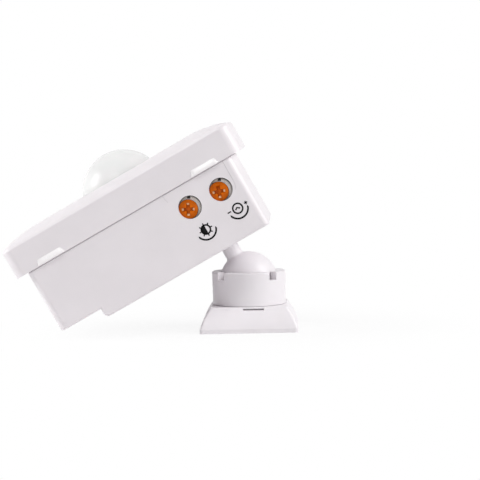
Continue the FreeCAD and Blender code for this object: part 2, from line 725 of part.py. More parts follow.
# Rear housing: an open tub with a tongue that plugs the cover, latches, pillars and a keyhole socket.
def make_rear_housing():
    centre = "-head_offset"
    body = new_body("RearHousing")
    tub = new_sketch(body, "TubOutline", z="rear_gap")
    draw_rectangle(tub, "housing_length", "housing_width", "housing_corner", centre)
    pad(body, tub, "housing_depth", "Tub")
    parting = value_of("parting_z")
    bevel_edges(body, "parting_groove", "PartingGroove", lambda edge, middle: near(middle.z, parting))
    tongue = new_sketch(body, "TongueOutline", z="parting_z")
    draw_rectangle(tongue, "tongue_length", "tongue_width", "housing_corner", centre)
    pad(body, tongue, "tongue_height", "Tongue")
    latches = new_sketch(body, "LatchOutlines", z="parting_z")
    for sign in ("-", "+"):
        draw_rectangle(latches, "latch_width", "cover_width + 2 * latch_proud", "latch_round",
                       f"-head_offset {sign} latch_reach")
    pad(body, latches, "latch_height", "Latches", taper="-latch_slope")

    step = new_sketch(body, "StepOutline", z="rear_gap")
    draw_outline(step, [("housing_left_x - wall", "-housing_width"), ("step_x", "-housing_width"),
                        ("step_x", "housing_width"), ("housing_left_x - wall", "housing_width")])
    pocket(body, step, "step_rise", "RearStep")

    shallow = new_sketch(body, "ShallowInside", z="step_floor_z")
    draw_rectangle(shallow, "housing_length - 2 * wall", "housing_width - 2 * wall", "wall / 2", centre)
    pocket(body, shallow, "housing_depth - step_rise - wall - tongue_wall", "ShallowRoom")
    deep_length = "housing_length - step_length - 2 * wall"
    deep = new_sketch(body, "DeepInside", z="floor_z")
    draw_rectangle(deep, deep_length, "housing_width - 2 * wall", "wall / 2",
                   "step_x + housing_length / 2 - step_length / 2")
    pocket(body, deep, "step_rise + wall", "DeepRoom")
    mouth = new_sketch(body, "MouthOutline", z="parting_z - tongue_wall")
    draw_rectangle(mouth, "housing_length - 2 * wall", "tongue_width - 2 * tongue_wall", "wall / 2", centre)
    pocket(body, mouth, "tongue_wall + tongue_height", "Mouth")
    rim = new_sketch(body, "RimInside", z="parting_z + tongue_wall")
    draw_rectangle(rim, "tongue_length - 2 * tongue_wall", "tongue_width - 2 * tongue_wall",
                   "wall / 2", centre)
    pocket(body, rim, "tongue_height", "RimRoom")

    for name, foot, top, spots in (
            ("ShallowPillar", "step_z + wall / 2", "board_z - step_z - wall / 2", SCREW_SPOTS[:2]),
            ("DeepPillar", "rear_gap + wall / 2", "board_z - rear_gap - wall / 2", SCREW_SPOTS[2:])):
        pillars = new_sketch(body, name + "Places", z=foot)
        for x, y in spots:
            draw_circle(pillars, "pillar_diameter", x, y)
        pad(body, pillars, top, name + "s")
    pilots = new_sketch(body, "PilotPlaces", z="board_z")
    for x, y in SCREW_SPOTS:
        draw_circle(pilots, "pilot_diameter", x, y)
    pocket(body, pilots, "pilot_depth", "PilotHoles", upwards=False)

    socket = new_sketch(body, "SocketBlock", z="rear_gap + wall / 2")
    draw_rectangle(socket, "socket_slide + lug_pocket + 2 * socket_wall", "lug_pocket + 2 * socket_wall",
                   "wall", "-socket_slide / 2")
    pad(body, socket, "wall / 2 + lug_room + socket_wall", "KeyholeSocket")
    channel = new_sketch(body, "LugChannel", z="floor_z")
    draw_slot(channel, "-socket_slide", "0", "lug_pocket")
    pocket(body, channel, "lug_room", "LugRoom")
    entry = new_sketch(body, "LugEntry", z="rear_gap")
    draw_circle(entry, "lug_pocket", "-socket_slide")
    pocket(body, entry, "wall + lug_play", "KeyholeEntry")
    groove = new_sketch(body, "StemGroove", z="rear_gap")
    draw_slot(groove, "-socket_slide", "0", "stem_diameter + 4 * lug_play")
    pocket(body, groove, "wall + lug_play", "KeyholeSlot")

    openings = new_sketch(body, "TrimmerHolePlaces", "XZ", z="housing_width / 2")
    for x in TRIMMER_SPOTS:
        draw_circle(openings, "trimmer_hole", x, "trimmer_z")
    pocket(body, openings, "wall + wall / 2", "TrimmerHoles", upwards=False)
    inlet = new_sketch(body, "InletPlace", z="step_z")
    draw_circle(inlet, "inlet_diameter", "inlet_x")
    pocket(body, inlet, "wall", "CableInlet")

    corner_x, corner_z = value_of("step_x"), value_of("rear_gap")
    round_edges(body, "step_round", "StepEdge", lambda edge, middle: (
        near(middle.x, corner_x) and near(middle.z, corner_z) and edge.Length > value_of("step_length")))
    levels = (value_of("rear_gap"), value_of("step_z"))
    half_y, left = value_of("housing_width / 2"), value_of("housing_left_x")
    right = value_of("housing_left_x + housing_length")
    margin = value_of("housing_corner")
    round_edges(body, "housing_edge", "RearEdges", lambda edge, middle: (
        any(near(middle.z, level) for level in levels)
        and (abs(middle.y) > half_y - margin or middle.x < left + margin or middle.x > right - margin)))
    return finish(body, "rear_housing", in_head=True)


# Front cover: a shell with a convex crown, the lens opening, snap windows and pegs for the retainer.
def make_front_cover():
    centre = "-head_offset"
    body = new_body("FrontCover")
    side = new_sketch(body, "CoverOutline", z="parting_z")
    draw_rectangle(side, "cover_length", "cover_width", "cover_corner", centre)
    pad(body, side, "cover_side", "CoverSide")
    sections = []
    for number, reach in enumerate(CROWN_REACHES):
        rise = reach ** CROWN_FULLNESS
        section = new_sketch(body, f"CrownSection{number}",
                             z=f"parting_z + cover_side + {rise} * crown_rise")
        draw_rectangle(section, f"cover_length - 2 * {reach} * crown_reach",
                       f"cover_width - 2 * {reach} * crown_reach", "cover_corner", centre)
        sections.append(section)
    doc.recompute()
    crown = body.newObject("PartDesign::AdditiveLoft", "Crown")
    crown.Ruled = True
    crown.Profile = sections[0]
    crown.Sections = sections[1:]
    doc.recompute()

    shoulder = "cover_side - crease_round"
    lower = new_sketch(body, "LowerInside", z="parting_z")
    draw_rectangle(lower, "cover_length - 2 * wall", "cover_width - 2 * wall", "cover_corner / 2", centre)
    pocket(body, lower, shoulder, "LowerRoom")
    upper = new_sketch(body, "UpperInside", z="parting_z")
    draw_rectangle(upper, "cover_length - 2 * ceiling_inset", "cover_width - 2 * ceiling_inset",
                   "cover_corner / 2", centre)
    pocket(body, upper, "cover_height - wall", "UpperRoom")
    opening = new_sketch(body, "LensOpeningPlace", z="parting_z")
    draw_circle(opening, "2 * (dome_seat_radius + dome_play)", centre)
    pocket(body, opening, "cover_height + wall", "LensOpening")

    windows = new_sketch(body, "WindowOutlines", "XZ")
    foot = "latch_width / 2 + window_play"
    top = f"{foot} - latch_height * tan(latch_slope)"
    roof_z = "parting_z + latch_height + window_play"
    for middle in ("-head_offset - latch_reach", "-head_offset + latch_reach"):
        draw_outline(windows, [(f"{middle} - ({foot})", "parting_z"), (f"{middle} + {foot}", "parting_z"),
                               (f"{middle} + {top}", roof_z), (f"{middle} - ({top})", roof_z)])
    pocket(body, windows, "2 * cover_width", "SnapWindows", both_ways=True)
    pegs = new_sketch(body, "PegPlaces", z="ceiling_z")
    for x, y in PEG_SPOTS:
        draw_circle(pegs, "peg_diameter", x, y)
    pad(body, pegs, "peg_length", "Pegs", downwards=True)
    crease, shift = value_of("parting_z + cover_side"), value_of("head_offset")
    inner_x, inner_y = (value_of(size) for size in ("cover_length / 2 - wall", "cover_width / 2 - wall"))
    round_edges(body, "crease_round", "Crease", lambda edge, middle: (
        near(middle.z, crease) and (abs(middle.x + shift) > inner_x or abs(middle.y) > inner_y)))
    return finish(body, "front_cover", in_head=True)


# Dome lens: a thin round shell with a flange that the cover's front wall holds.
def make_dome_lens():
    body = new_body("DomeLens")
    profile = new_sketch(body, "LensProfile", "XZ")
    draw_outline(profile, [("0", "dome_radius"), ("dome_seat_radius", "dome_seat"),
                           ("flange_diameter / 2", "dome_seat"), ("flange_diameter / 2", "dome_foot"),
                           ("sqrt(dome_inner ^ 2 - dome_foot ^ 2)", "dome_foot"), ("0", "dome_inner")],
                 {0: ("dome_radius", -1), 4: ("dome_inner", 1)})
    turn(body, profile, "DomeShell")
    body.Label = "dome_lens"
    body.setExpression("Placement", spelled_out(
        "placement(vector(0; 0; ball_height); rotation(vector(0; 1; 0); -head_tilt))"
        " * placement(vector(-head_offset; 0; dome_z); rotation(vector(0; 1; 0); 0))"))
    nodes.append(body)


# Lens retainer: a flat ring on the cover's pegs behind the lens flange.
def make_lens_retainer():
    foot = "ceiling_z - flange_thickness - retainer_thickness"
    centre = "-head_offset"
    ring = cylinder("RetainerRing", "retainer_outer", "retainer_thickness", centre, z=foot)
    bore = cylinder("RetainerBore", "retainer_inner", "retainer_thickness", centre, z=foot)
    holes = [cylinder(f"PegHole{number}", "peg_diameter + 2 * fit_play", "retainer_thickness", x, y, foot)
             for number, (x, y) in enumerate(PEG_SPOTS)]
    return finish(cut("LensRetainer", ring, bore, *holes), "lens_retainer", in_head=True)


# Cable grommet: a blind plug in the inlet, with a thin skin that the cable is pushed through.
def make_cable_grommet():
    plug = cylinder("GrommetPlug", "inlet_diameter - 2 * fit_play", "wall", "inlet_x", z="step_z")
    flange = cylinder("GrommetFlange", "grommet_flange", "grommet_flange_height", "inlet_x",
                      z="step_floor_z")
    recess = cylinder("GrommetRecess", "grommet_recess", "wall + grommet_flange_height - grommet_skin",
                      "inlet_x", z="step_z")
    return finish(cut("CableGrommet", fuse("GrommetBody", plug, flange), recess), "cable_grommet",
                  in_head=True)


# Circuit board with its screw holes.
def make_circuit_board():
    body = new_body("CircuitBoard")
    outline = new_sketch(body, "BoardOutline", z="board_z")
    draw_rectangle(outline, "board_length", "board_width", "board_corner", "-head_offset")
    pad(body, outline, "board_thickness", "Board")
    holes = new_sketch(body, "BoardHolePlaces", z="board_z")
    for x, y in SCREW_SPOTS:
        draw_circle(holes, "screw_diameter + 8 * fit_play", x, y)
    pocket(body, holes, "board_thickness", "BoardHoles")
    return finish(body, "circuit_board", in_head=True)


# Board screws: four pan-head screws from the front into the pillars.
def make_board_screws():
    screws = []
    for number, (x, y) in enumerate(SCREW_SPOTS):
        head = cylinder(f"ScrewHead{number}", "screw_head", "screw_head_height", x, y, "board_front_z")
        shank = cylinder(f"ScrewShank{number}", "screw_diameter", "screw_length", x, y,
                         "board_front_z - screw_length")
        screws.append(fuse(f"BoardScrew{number}", head, shank))
    group = doc.addObject("Part::Compound", "BoardScrews")
    group.Links = screws
    return finish(group, "board_screws", in_head=True)


# Infrared sensor: a metal can on the board at the lens's centre, with a filter pane in its top.
def make_infrared_sensor():
    centre = "-head_offset"
    pane_z = "board_front_z + can_height - pane_depth"
    flange = cylinder("CanFlange", "can_flange", "can_flange_height", centre, z="board_front_z")
    can = cylinder("CanBody", "can_diameter", "can_height", centre, z="board_front_z")
    cap = value_of("board_front_z + can_height")
    whole = rounded("CanRounded", fuse("CanSolid", flange, can), "can_round",
                    lambda edge, middle: near(middle.z, cap))
    seat = block("PaneSeat", "pane_length", "pane_width", "pane_depth", centre, "0", pane_z)
    finish(cut("InfraredSensor", whole, seat), "infrared_sensor", in_head=True)
    pane = block("SensorPane", "pane_length", "pane_width", "pane_depth", centre, "0", pane_z)
    finish(fuse_one("SensorPaneSolid", pane), "sensor_pane", in_head=True)


# Light sensor: a round cell beside the can, under the dome.
def make_light_sensor():
    cell = cylinder("LightCell", "cell_diameter", "cell_height", "-head_offset + cell_offset",
                    z="board_front_z")
    finish(fuse_one("LightSensor", cell), "light_sensor", in_head=True)


def cross_arm(name, x, z, turn):
    """One arm of a cross slot in a rotor's face, with sloped sides and ends."""
    arm = doc.addObject("Part::Wedge", name)
    bind(arm, {"Xmin": "-cross_length / 2", "Xmax": "cross_length / 2",
               "Zmin": "-cross_width / 2", "Zmax": "cross_width / 2",
               "X2min": "-cross_floor_length / 2", "X2max": "cross_floor_length / 2",
               "Z2min": "-cross_floor_width / 2", "Z2max": "cross_floor_width / 2",
               "Ymin": "0 mm", "Ymax": "cross_depth"})
    arm.setExpression("Placement", spelled_out(
        f"placement(vector({x}; -rotor_face_y; {z}); rotation(vector(0; 1; 0); {turn}))"))
    return arm


# Trimmers: a body under the board with a round nose, and a rotor that shows in the housing's hole.
def make_trimmers():
    for name, spot in zip(("light", "time"), TRIMMER_SPOTS):
        x, z = f"{spot} - rotor_shift_x", "trimmer_z - rotor_shift_z"
        bore = "spindle_diameter + 2 * fit_play"
        seat = "rotor_diameter + 2 * fit_play"
        base = block(name + "_base", "trimmer_width", "trimmer_depth", "trimmer_height", x,
                     "trimmer_depth / 2 - trimmer_back_y", "board_z - trimmer_height")
        nose = cylinder(name + "_nose", "nose_diameter", "nose_y - trimmer_back_y + trimmer_gap",
                        x, "-nose_y", z, lying=True)
        recess = cylinder(name + "_recess", seat, "rotor_lap", x, "-nose_y", z, lying=True)
        hole = cylinder(name + "_bore", bore, "spindle_length + fit_play", x, "rotor_lap - nose_y", z,
                        lying=True)
        index = doc.addObject("Part::Box", name + "_index")
        bind(index, {"Length": "nose_diameter", "Width": "nose_y - trimmer_back_y", "Height": "index_width"})
        index.setExpression("Placement", spelled_out(
            f"placement(vector({x}; -nose_y; {z}); rotation(vector(0; 1; 0); -index_angle))"
            " * placement(vector(index_reach; 0; -index_width / 2); rotation(vector(0; 1; 0); 0))"))
        finish(cut(name + "_body", fuse(name + "_solid", base, nose), recess, hole, index),
               name + "_trimmer_body", in_head=True)
        disc = cylinder(name + "_disc", "rotor_diameter", "rotor_face_y - nose_y + rotor_lap - fit_play",
                        x, "-rotor_face_y", z, lying=True)
        spindle = cylinder(name + "_spindle", "spindle_diameter", "spindle_length", x,
                           "rotor_lap - fit_play - nose_y", z, lying=True)
        across = cross_arm(name + "_across", x, z, f"{name}_cross_turn")
        along = cross_arm(name + "_along", x, z, f"({name}_cross_turn + 90)")
        finish(cut(name + "_rotor", fuse(name + "_knob", disc, spindle), across, along),
               name + "_trimmer_rotor", in_head=True)


# Parts that hang under the board.
def make_power_parts():
    relay = block("RelayCase", "relay_length", "relay_width", "relay_height", "relay_x",
                  "board_side_y - relay_side_inset - relay_width / 2", "board_z - relay_height")
    film = block("FilmCase", "film_length", "film_width", "film_height", "film_x",
                 "board_side_y - film_side_inset - film_width / 2", "board_z - film_height")
    for name, case in (("relay", relay), ("film_capacitor", film)):
        finish(rounded(name + "_rounded", case, "edge_soft", lambda edge, middle: (
            abs(edge.tangentAt(edge.FirstParameter).z) > 0.99)), name, in_head=True)
    tank = cylinder("Smoothing", "smoothing_diameter", "smoothing_height", "smoothing_x",
                    "smoothing_side_inset + smoothing_diameter / 2 - board_side_y",
                    "board_z - smoothing_height")
    finish(fuse_one("SmoothingCapacitor", tank), "smoothing_capacitor", in_head=True)
    chip = block("Chip", "chip_length", "chip_width", "chip_height", "-head_offset + chip_x", "-chip_y",
                 "board_z - chip_height")
    finish(fuse_one("ControlChip", chip), "control_chip", in_head=True)
    diodes = [cylinder(f"Diode{number}", "diode_diameter", "diode_length",
                       f"diode_x + {number} * diode_pitch", "diode_side_inset - board_side_y",
                       "board_z - diode_diameter / 2", lying=True)
              for number in range(round(value_of("diode_count")))]
    group = doc.addObject("Part::Compound", "Diodes")
    group.Links = diodes
    finish(group, "rectifier_diodes", in_head=True)


# Terminal block near the cable inlet, with three clamping screws.
def make_terminals():
    centre = "terminal_x"
    foot = "board_z - terminal_height"
    case = block("TerminalCase", "terminal_width", "terminal_length", "terminal_height", centre, "0", foot)
    spots = [f"{number} * terminal_pitch" for number in (-1, 0, 1)]
    wells = [cylinder(f"TerminalWell{number}", "terminal_screw + 2 * fit_play", "terminal_screw_depth",
                      centre, y, foot) for number, y in enumerate(spots)]
    finish(cut("TerminalBlock", case, *wells), "terminal_block", in_head=True)
    screws = [cylinder(f"TerminalScrew{number}", "terminal_screw", "terminal_screw_depth", centre, y, foot)
              for number, y in enumerate(spots)]
    group = doc.addObject("Part::Compound", "TerminalScrews")
    group.Links = screws
    finish(group, "terminal_screws", in_head=True)


def check_and_write():
    doc.recompute()
    for thing in doc.Objects:
        troubles = [word for word in thing.State if word in ("Invalid", "Error")]
        if troubles:
            raise RuntimeError(f"{thing.Name} ({thing.Label}) is {troubles}")
    for node in nodes:
        if node.Shape.isNull() or not node.Shape.isValid():
            raise RuntimeError(f"{node.Label} has no valid shape")
    os.makedirs("parts", exist_ok=True)
    for node in nodes:
        node.Shape.exportStep(f"parts/{node.Label}.step")
        print(node.Label, "solids", len(node.Shape.Solids), "volume", round(node.Shape.Volume, 1))


make_base_plate()
make_base_skirt()
make_ball_seat()
make_clamp_collar()
make_ball_stem()
make_rear_housing()
make_front_cover()
make_dome_lens()
make_lens_retainer()
make_cable_grommet()
make_circuit_board()
make_board_screws()
make_infrared_sensor()
make_light_sensor()
make_trimmers()
make_power_parts()
make_terminals()
check_and_write()
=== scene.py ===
# %% [markdown]
# # A motion sensor switch on a ball joint
#
# This lesson dresses a finished CAD model of a small passive infrared motion sensor. The real one
# is a white plastic box with a round lens, two orange trimmers behind holes in its side, and a
# ball joint on a square foot. All of it is injection moulded, so nearly everything that the eye
# reads comes from the plastic's soft gloss, its edges and the shadow in its seams.
#
# The CAD model is loaded first and stays where it is. We only give it materials, and build what a
# CAD model leaves out: the printed signs, the lens's pattern and the marks of the mould.

# %% Load the frame
import json
import math

import bmesh
import bpy
from mathutils import Matrix, Vector


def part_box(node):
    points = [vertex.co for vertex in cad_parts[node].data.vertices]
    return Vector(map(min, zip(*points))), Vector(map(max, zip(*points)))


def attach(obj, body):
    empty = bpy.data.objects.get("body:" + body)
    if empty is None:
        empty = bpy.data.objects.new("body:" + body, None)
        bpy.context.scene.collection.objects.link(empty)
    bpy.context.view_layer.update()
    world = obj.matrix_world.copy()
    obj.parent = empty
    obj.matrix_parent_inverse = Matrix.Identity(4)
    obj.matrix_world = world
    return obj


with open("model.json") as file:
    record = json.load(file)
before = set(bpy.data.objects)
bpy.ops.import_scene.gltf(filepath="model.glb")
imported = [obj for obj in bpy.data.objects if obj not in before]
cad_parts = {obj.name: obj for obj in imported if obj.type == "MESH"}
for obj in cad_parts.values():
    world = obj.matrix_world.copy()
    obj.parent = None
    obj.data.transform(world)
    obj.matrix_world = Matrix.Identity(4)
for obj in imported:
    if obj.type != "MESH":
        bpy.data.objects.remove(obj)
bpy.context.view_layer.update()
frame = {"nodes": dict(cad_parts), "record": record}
nodes = frame["nodes"]

# %% [markdown]
# ## Two frames, in millimetres
#
# A plastic part is drawn in millimetres, and Blender works in metres, so one value turns the one
# into the other. The head sits tilted on its ball. Its own frame has Z along the stem, towards the
# lens, and X along the long side. Drawing the signs in that frame is easier than in the room's
# frame, because there they are upright. One matrix then tips them into place.

# %% Units and the head's frame
MM = 0.001
HEAD_TILT = math.radians(28.8)
BALL_HEIGHT = 14.5
head_frame = Matrix.Translation((0, 0, BALL_HEIGHT * MM)) @ Matrix.Rotation(-HEAD_TILT, 4, "Y")


def in_head(x, y, z):
    """A place in the head's frame, in millimetres, as a point in the room."""
    return head_frame @ Vector((x * MM, y * MM, z * MM))


print("Ball centre:", tuple(round(v, 4) for v in in_head(0, 0, 0)))

# %% [markdown]
# ## The camera
#
# The picture was taken with a long lens from a few degrees above the table, which keeps the long
# edges of the box nearly parallel. A camera can be described by where it stands around a point, and
# by where that point shows in the picture. The second part moves the camera sideways instead of
# using lens shift, so that the other views stay centred.

# %% Camera
PICTURE_SIDE = 480
SENSOR_WIDTH = 36.0
FOCAL_PIXELS = 1830.0
CAMERA_AZIMUTH = math.radians(1.57)
CAMERA_ELEVATION = math.radians(3.84)
CAMERA_ROLL = math.radians(-1.31)
CAMERA_DISTANCE = 549.5 * MM
AIM_POINT = Vector((0, 0, 15.0)) * MM
AIM_PIXEL = (248.9, 278.1)
CLIP_START = 10 * MM

back = Vector((math.sin(CAMERA_AZIMUTH) * math.cos(CAMERA_ELEVATION),
               -math.cos(CAMERA_AZIMUTH) * math.cos(CAMERA_ELEVATION),
               math.sin(CAMERA_ELEVATION)))
level_right = Vector((math.cos(CAMERA_AZIMUTH), math.sin(CAMERA_AZIMUTH), 0))
level_up = back.cross(level_right)
right = math.cos(CAMERA_ROLL) * level_right + math.sin(CAMERA_ROLL) * level_up
up = math.cos(CAMERA_ROLL) * level_up - math.sin(CAMERA_ROLL) * level_right
across = (AIM_PIXEL[0] - PICTURE_SIDE / 2) / FOCAL_PIXELS * CAMERA_DISTANCE
above = (PICTURE_SIDE / 2 - AIM_PIXEL[1]) / FOCAL_PIXELS * CAMERA_DISTANCE

camera_data = bpy.data.cameras.new("camera")
camera_data.lens = FOCAL_PIXELS * SENSOR_WIDTH / PICTURE_SIDE
camera_data.sensor_width = SENSOR_WIDTH
camera_data.clip_start = CLIP_START
camera = bpy.data.objects.new("camera", camera_data)
bpy.context.scene.collection.objects.link(camera)
stand = AIM_POINT + back * CAMERA_DISTANCE - right * across - up * above
camera.matrix_world = Matrix.Translation(stand) @ Matrix((right, up, back)).transposed().to_4x4()
bpy.context.scene.camera = camera
print("Lens:", round(camera_data.lens, 1), "mm")

# %% [markdown]
# ## Helpers for materials
#
# Colours are picked on a screen, so they are written as sRGB hex values, as a paint chart
# gives them. Blender's shaders add light up in linear values, and one function turns the one into
# the other. A second function adds a node with its settings and its links, which keeps each
# material short enough to read as a recipe.
#
# No real surface is one even colour. So every material starts from the same recipe: its colour
# drifts between two close shades, and its gloss between two values, over patches whose size is
# given in millimetres. What makes each finish itself is then added to that.

# %% Colour and node helpers
SRGB_TOE, SRGB_SLOPE, SRGB_SHIFT, SRGB_POWER = 0.04045, 12.92, 0.055, 2.4


def linear(hex_colour):
    """An sRGB hex colour as Blender's linear red, green, blue and alpha."""
    channels = [int(hex_colour[i:i + 2], 16) / 255 for i in (1, 3, 5)]
    light = [((c + SRGB_SHIFT) / (1 + SRGB_SHIFT)) ** SRGB_POWER if c > SRGB_TOE else c / SRGB_SLOPE
             for c in channels]
    return (*light, 1.0)


def add_node(tree, kind, inputs=None, **settings):
    """Adds a shader node. An input is a plain value, or the output socket that feeds it."""
    node = tree.nodes.new("ShaderNode" + kind)
    for name, value in settings.items():
        setattr(node, name, value)
    for name, value in (inputs or {}).items():
        if isinstance(value, bpy.types.NodeSocket):
            tree.links.new(value, node.inputs[name])
        else:
            node.inputs[name].default_value = value
    return node


def set_sockets(shader, values):
    """Sets the shader's own sockets to plain values."""
    for name, value in values.items():
        shader.inputs[name].default_value = value


print("Middle grey, #808080, in linear light:", round(linear("#808080")[0], 3))

# %% The recipe that all the materials share
# A noise seldom leaves the stretch from 0.3 to 0.7, so that stretch is spread over the whole drift.
NOISE_LOW, NOISE_HIGH = 0.3, 0.7
# The Mix node has sockets of one name for each kind of value, so its colour ones go by number.
MIX_FACTOR, MIX_FIRST, MIX_SECOND, MIX_RESULT = 0, 6, 7, 2


def two_tone(name, colour, shade, tone_mm, gloss_mm, gloss, detail=2.0):
    """A material whose colour and roughness drift over patches of a real size."""
    material = bpy.data.materials.new(name)
    material.use_nodes = True
    tree = material.node_tree
    shader = tree.nodes["Principled BSDF"]
    place = add_node(tree, "TexCoord", name="place").outputs["Object"]
    drift = []
    for patch_mm, (low, high) in ((tone_mm, (0.0, 1.0)), (gloss_mm, gloss)):
        noise = add_node(tree, "TexNoise", {
            "Vector": place, "Scale": 1 / (patch_mm * MM), "Detail": detail})
        drift.append(add_node(tree, "MapRange", {
            "Value": noise.outputs["Fac"], "From Min": NOISE_LOW, "From Max": NOISE_HIGH,
            "To Min": low, "To Max": high}).outputs["Result"])
    paint = add_node(tree, "Mix", {
        MIX_FACTOR: drift[0], MIX_FIRST: linear(colour), MIX_SECOND: linear(shade)},
        data_type="RGBA", name="paint")
    tree.links.new(paint.outputs[MIX_RESULT], shader.inputs["Base Color"])
    tree.links.new(drift[1], shader.inputs["Roughness"])
    print("Made", name)
    return material, tree, shader


# %% [markdown]
# Shade falls where other faces stand close, and the light seldom reaches in. This helper paints
# that shade into the colour: an Ambient Occlusion node says how open each point is to what lies
# around it, within a reach that we give it in millimetres, and closer places get a darker colour.

# %% Painted shade in close corners
CLOSENESS_SAMPLES = 8


def paint_close_shade(tree, shader, reach_mm, open_share, most, shade_colour):
    """Paints shade into the colour where other faces stand within reach. open_share says how open a
    place may be and still get the darkest shade, and how open it has to be to get none."""
    closeness = add_node(tree, "AmbientOcclusion", {"Distance": reach_mm * MM},
                         samples=CLOSENESS_SAMPLES)
    painted_shade = add_node(tree, "MapRange", {
        "Value": closeness.outputs["AO"], "From Min": open_share[0], "From Max": open_share[1],
        "To Min": most, "To Max": 0.0})
    # Painted shade: the less open a place is, the more of the shade colour it gets.
    shaded_colour = add_node(tree, "Mix", {
        MIX_FACTOR: painted_shade.outputs["Result"], MIX_FIRST: tree.nodes["paint"].outputs[MIX_RESULT],
        MIX_SECOND: linear(shade_colour)}, data_type="RGBA")
    tree.links.new(shaded_colour.outputs[MIX_RESULT], shader.inputs["Base Color"])


# %% [markdown]
# ## Moulded white ABS
#
# The box, the collar, the stem and the foot are white ABS, injection moulded in a steel tool whose
# faces were spark eroded to a fine matt grain. That grain is about 0.05 mm wide, far too fine for
# this picture, so it is drawn 0.3 mm wide and very shallow. To the eye it gives a soft, broad
# highlight. The melt cools unevenly, so large faces are never quite flat: a second, slow wave a few
# hundredths of a millimetre deep makes the highlight drift. Corners and seams get a little painted
# grey shade, which an occlusion node finds.
#
# The foot, its collar and the ball get a lighter copy of the same white, which paints in the extra
# light that reaches them, and no painted shade in their corners.

# %% White ABS
EROSION_MM, EROSION_DEPTH = 0.3, 0.006 * MM
SINK_MM, SINK_DEPTH = 14.0, 0.12 * MM
ERODED_ROUGHNESS, SMOOTHER, ROUGHER = 0.42, 0.04, 0.05
BOX_CORNER_SHADE, NO_CORNER_SHADE = 0.12, 0.0


def moulded_abs(name, colour, shade, roughness, corner_shade_share):
    """White ABS with its eroded grain, slow sink waves, and painted shade in its corners."""
    material, tree, shader = two_tone(
        name, colour, shade, tone_mm=9, gloss_mm=3,
        gloss=(roughness - SMOOTHER, roughness + ROUGHER), detail=3)
    place = tree.nodes["place"].outputs["Object"]
    # Painted shade: corners and seams darken towards grey.
    paint_close_shade(tree, shader, reach_mm=1.2, open_share=(0.1, 0.75), most=corner_shade_share, shade_colour="#8C868A")
    fine = add_node(tree, "TexNoise", {
        "Vector": place, "Scale": 1 / (EROSION_MM * MM), "Detail": 2.0})
    slow = add_node(tree, "TexNoise", {
        "Vector": place, "Scale": 1 / (SINK_MM * MM), "Detail": 1.0})
    eroded = add_node(tree, "Bump", {"Height": fine.outputs["Fac"], "Distance": EROSION_DEPTH})
    sink = add_node(tree, "Bump", {
        "Height": slow.outputs["Fac"], "Distance": SINK_DEPTH, "Normal": eroded.outputs["Normal"]})
    tree.links.new(sink.outputs["Normal"], shader.inputs["Normal"])
    set_sockets(shader, {"IOR": 1.54, "Subsurface Weight": 0.06, "Subsurface Scale": 0.6 * MM,
                         "Subsurface Radius": (1.0, 0.9, 0.85)})
    return material


white_abs = moulded_abs("moulded white ABS", "#EAE5E8", "#E6E1E4", ERODED_ROUGHNESS, BOX_CORNER_SHADE)
# The foot's copy is painted lighter, for the extra light that reaches it, with no painted shade.
lit_foot_abs = moulded_abs("white ABS of the foot, painted lighter", "#F0ECEF", "#EDE9EC", ERODED_ROUGHNESS,
                       NO_CORNER_SHADE)

# %% [markdown]
# ## Natural acetal
#
# The ring that the ball turns in has to slide, so it is acetal in its natural, slightly milky
# colour. It is waxy: a soft gloss, with light that runs a little way into it. A plain colour would
# look like paint, so a share of subsurface scattering lets the light in.

# %% Acetal
acetal, tree, shader = two_tone("moulded natural acetal", "#E4E2DA", "#D9D6CC", tone_mm=4,
                                gloss_mm=1.5, gloss=(0.3, 0.4))
set_sockets(shader, {"IOR": 1.48, "Subsurface Weight": 0.3, "Subsurface Scale": 1.0 * MM,
                     "Subsurface Radius": (1.0, 0.9, 0.8)})

# %% [markdown]
# ## Pressed polyethylene
#
# The lens is high density polyethylene, the one cheap plastic that lets body heat through. It is
# milky and waxy to the touch. Light enters it and comes out again about a millimetre away, so it
# looks soft and lit from inside. Subsurface scattering gives that glow.
#
# Its inner face is cut into many small lenses in staggered rows, which hardly show from outside.
# They could be modelled there, but the wall is milky and blurs them. So a Brick texture draws them
# very faintly, laid on the dome by two angles: one round its axis, and one down from its top.

# %% Polyethylene
LENS_CENTRE = in_head(-19.0, 0.0, 41.7)
LENS_SEGMENTS = 14
LENS_ROW = math.radians(17.0)
SEAM_WIDTH, SEAM_BLUR = 0.03, 0.6

polyethylene, tree, shader = two_tone("pressed polyethylene", "#E9E8E9", "#E6E7E6", tone_mm=5,
                                      gloss_mm=6, gloss=(0.22, 0.26))
place = tree.nodes["place"].outputs["Object"]
local = add_node(tree, "VectorMath", {0: place, 1: LENS_CENTRE}, operation="SUBTRACT")
upright = add_node(tree, "VectorRotate", {"Vector": local.outputs["Vector"], "Angle": HEAD_TILT},
                   rotation_type="Y_AXIS")
axes = add_node(tree, "SeparateXYZ", {0: upright.outputs[0]}).outputs
flat = add_node(tree, "CombineXYZ", {0: axes[0], 1: axes[1]})
out = add_node(tree, "VectorMath", {0: flat.outputs[0]}, operation="LENGTH").outputs["Value"]
round_axis = add_node(tree, "Math", {0: axes[1], 1: axes[0]}, operation="ARCTAN2")
down = add_node(tree, "Math", {0: out, 1: axes[2]}, operation="ARCTAN2")
segment = add_node(tree, "Math", {0: round_axis.outputs[0], 1: LENS_SEGMENTS / math.tau},
                   operation="MULTIPLY")
row = add_node(tree, "Math", {0: down.outputs[0], 1: 1 / LENS_ROW}, operation="MULTIPLY")
unrolled = add_node(tree, "CombineXYZ", {0: segment.outputs[0], 1: row.outputs[0]})
cut = add_node(tree, "TexBrick", {
    "Vector": unrolled.outputs[0], "Scale": 1.0, "Brick Width": 1.0, "Row Height": 1.0,
    "Mortar Size": SEAM_WIDTH, "Mortar Smooth": SEAM_BLUR,
    "Color1": linear("#EBE9E9"), "Color2": linear("#E9E9E8"), "Mortar": linear("#E7E7E6")})
tree.links.new(cut.outputs["Color"], tree.nodes["paint"].inputs[MIX_FIRST])
